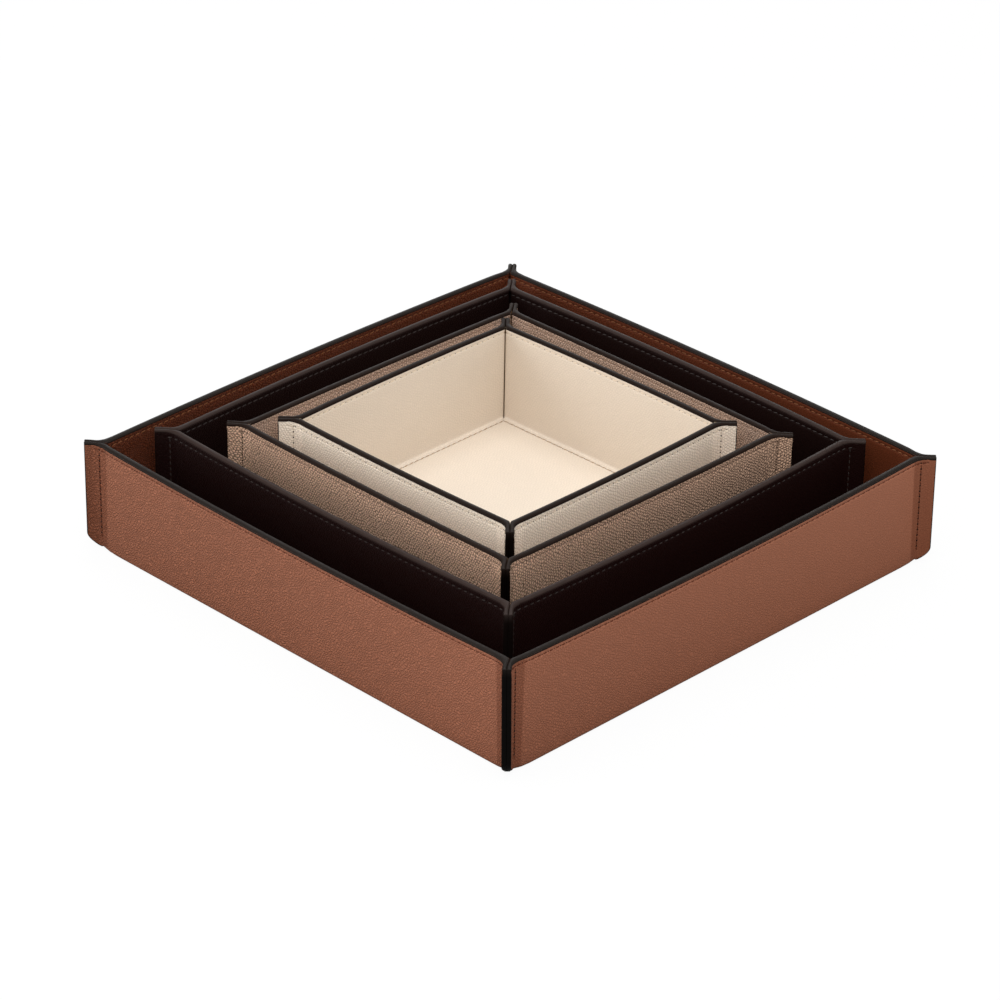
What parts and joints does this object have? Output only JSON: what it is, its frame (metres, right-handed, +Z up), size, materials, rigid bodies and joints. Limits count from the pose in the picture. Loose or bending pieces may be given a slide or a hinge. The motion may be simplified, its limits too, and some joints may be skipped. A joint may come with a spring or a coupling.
{
  "type": "nested valet trays",
  "caption": "Nest of square leather valet trays with boarded walls, folded base edges and sewn, pinched corner ears; each inner tray lifts out of the next larger one.",
  "frame": {"origin": "centre of the large tray's underside", "axes": "+Z up out of the trays; +X and +Y along the large tray's sides"},
  "size_m": [0.3118, 0.3118, 0.0735],
  "materials": {
    "tan_leather": "fine-grained tan leather, satin",
    "dark_leather": "fine-grained near-black brown leather, satin",
    "taupe_leather": "embossed taupe leather, satin",
    "cream_leather": "embossed cream leather, satin",
    "board": "plain fibre board"
  },
  "bodies": {
    "large_tray": {"large_tray_outer_leather": "tan_leather", "large_tray_lining": "tan_leather", "large_tray_base_board": "board", "large_tray_front_board": "board", "large_tray_right_board": "board", "large_tray_back_board": "board", "large_tray_left_board": "board"},
    "medium_tray": {"medium_tray_outer_leather": "dark_leather", "medium_tray_lining": "dark_leather", "medium_tray_base_board": "board", "medium_tray_front_board": "board", "medium_tray_right_board": "board", "medium_tray_back_board": "board", "medium_tray_left_board": "board"},
    "small_tray": {"small_tray_outer_leather": "taupe_leather", "small_tray_lining": "taupe_leather", "small_tray_base_board": "board", "small_tray_front_board": "board", "small_tray_right_board": "board", "small_tray_back_board": "board", "small_tray_left_board": "board"},
    "mini_tray": {"mini_tray_outer_leather": "cream_leather", "mini_tray_lining": "cream_leather", "mini_tray_base_board": "board", "mini_tray_front_board": "board", "mini_tray_right_board": "board", "mini_tray_back_board": "board", "mini_tray_left_board": "board"}
  },
  "joints": [
    {"name": "medium_lift", "type": "slide", "parent": "large_tray", "child": "medium_tray", "axis": [0, 0, 1], "range_m": [0, 0.08]},
    {"name": "small_lift", "type": "slide", "parent": "medium_tray", "child": "small_tray", "axis": [0, 0, 1], "range_m": [0, 0.08]},
    {"name": "mini_lift", "type": "slide", "parent": "small_tray", "child": "mini_tray", "axis": [0, 0, 1], "range_m": [0, 0.08]}
  ]
}
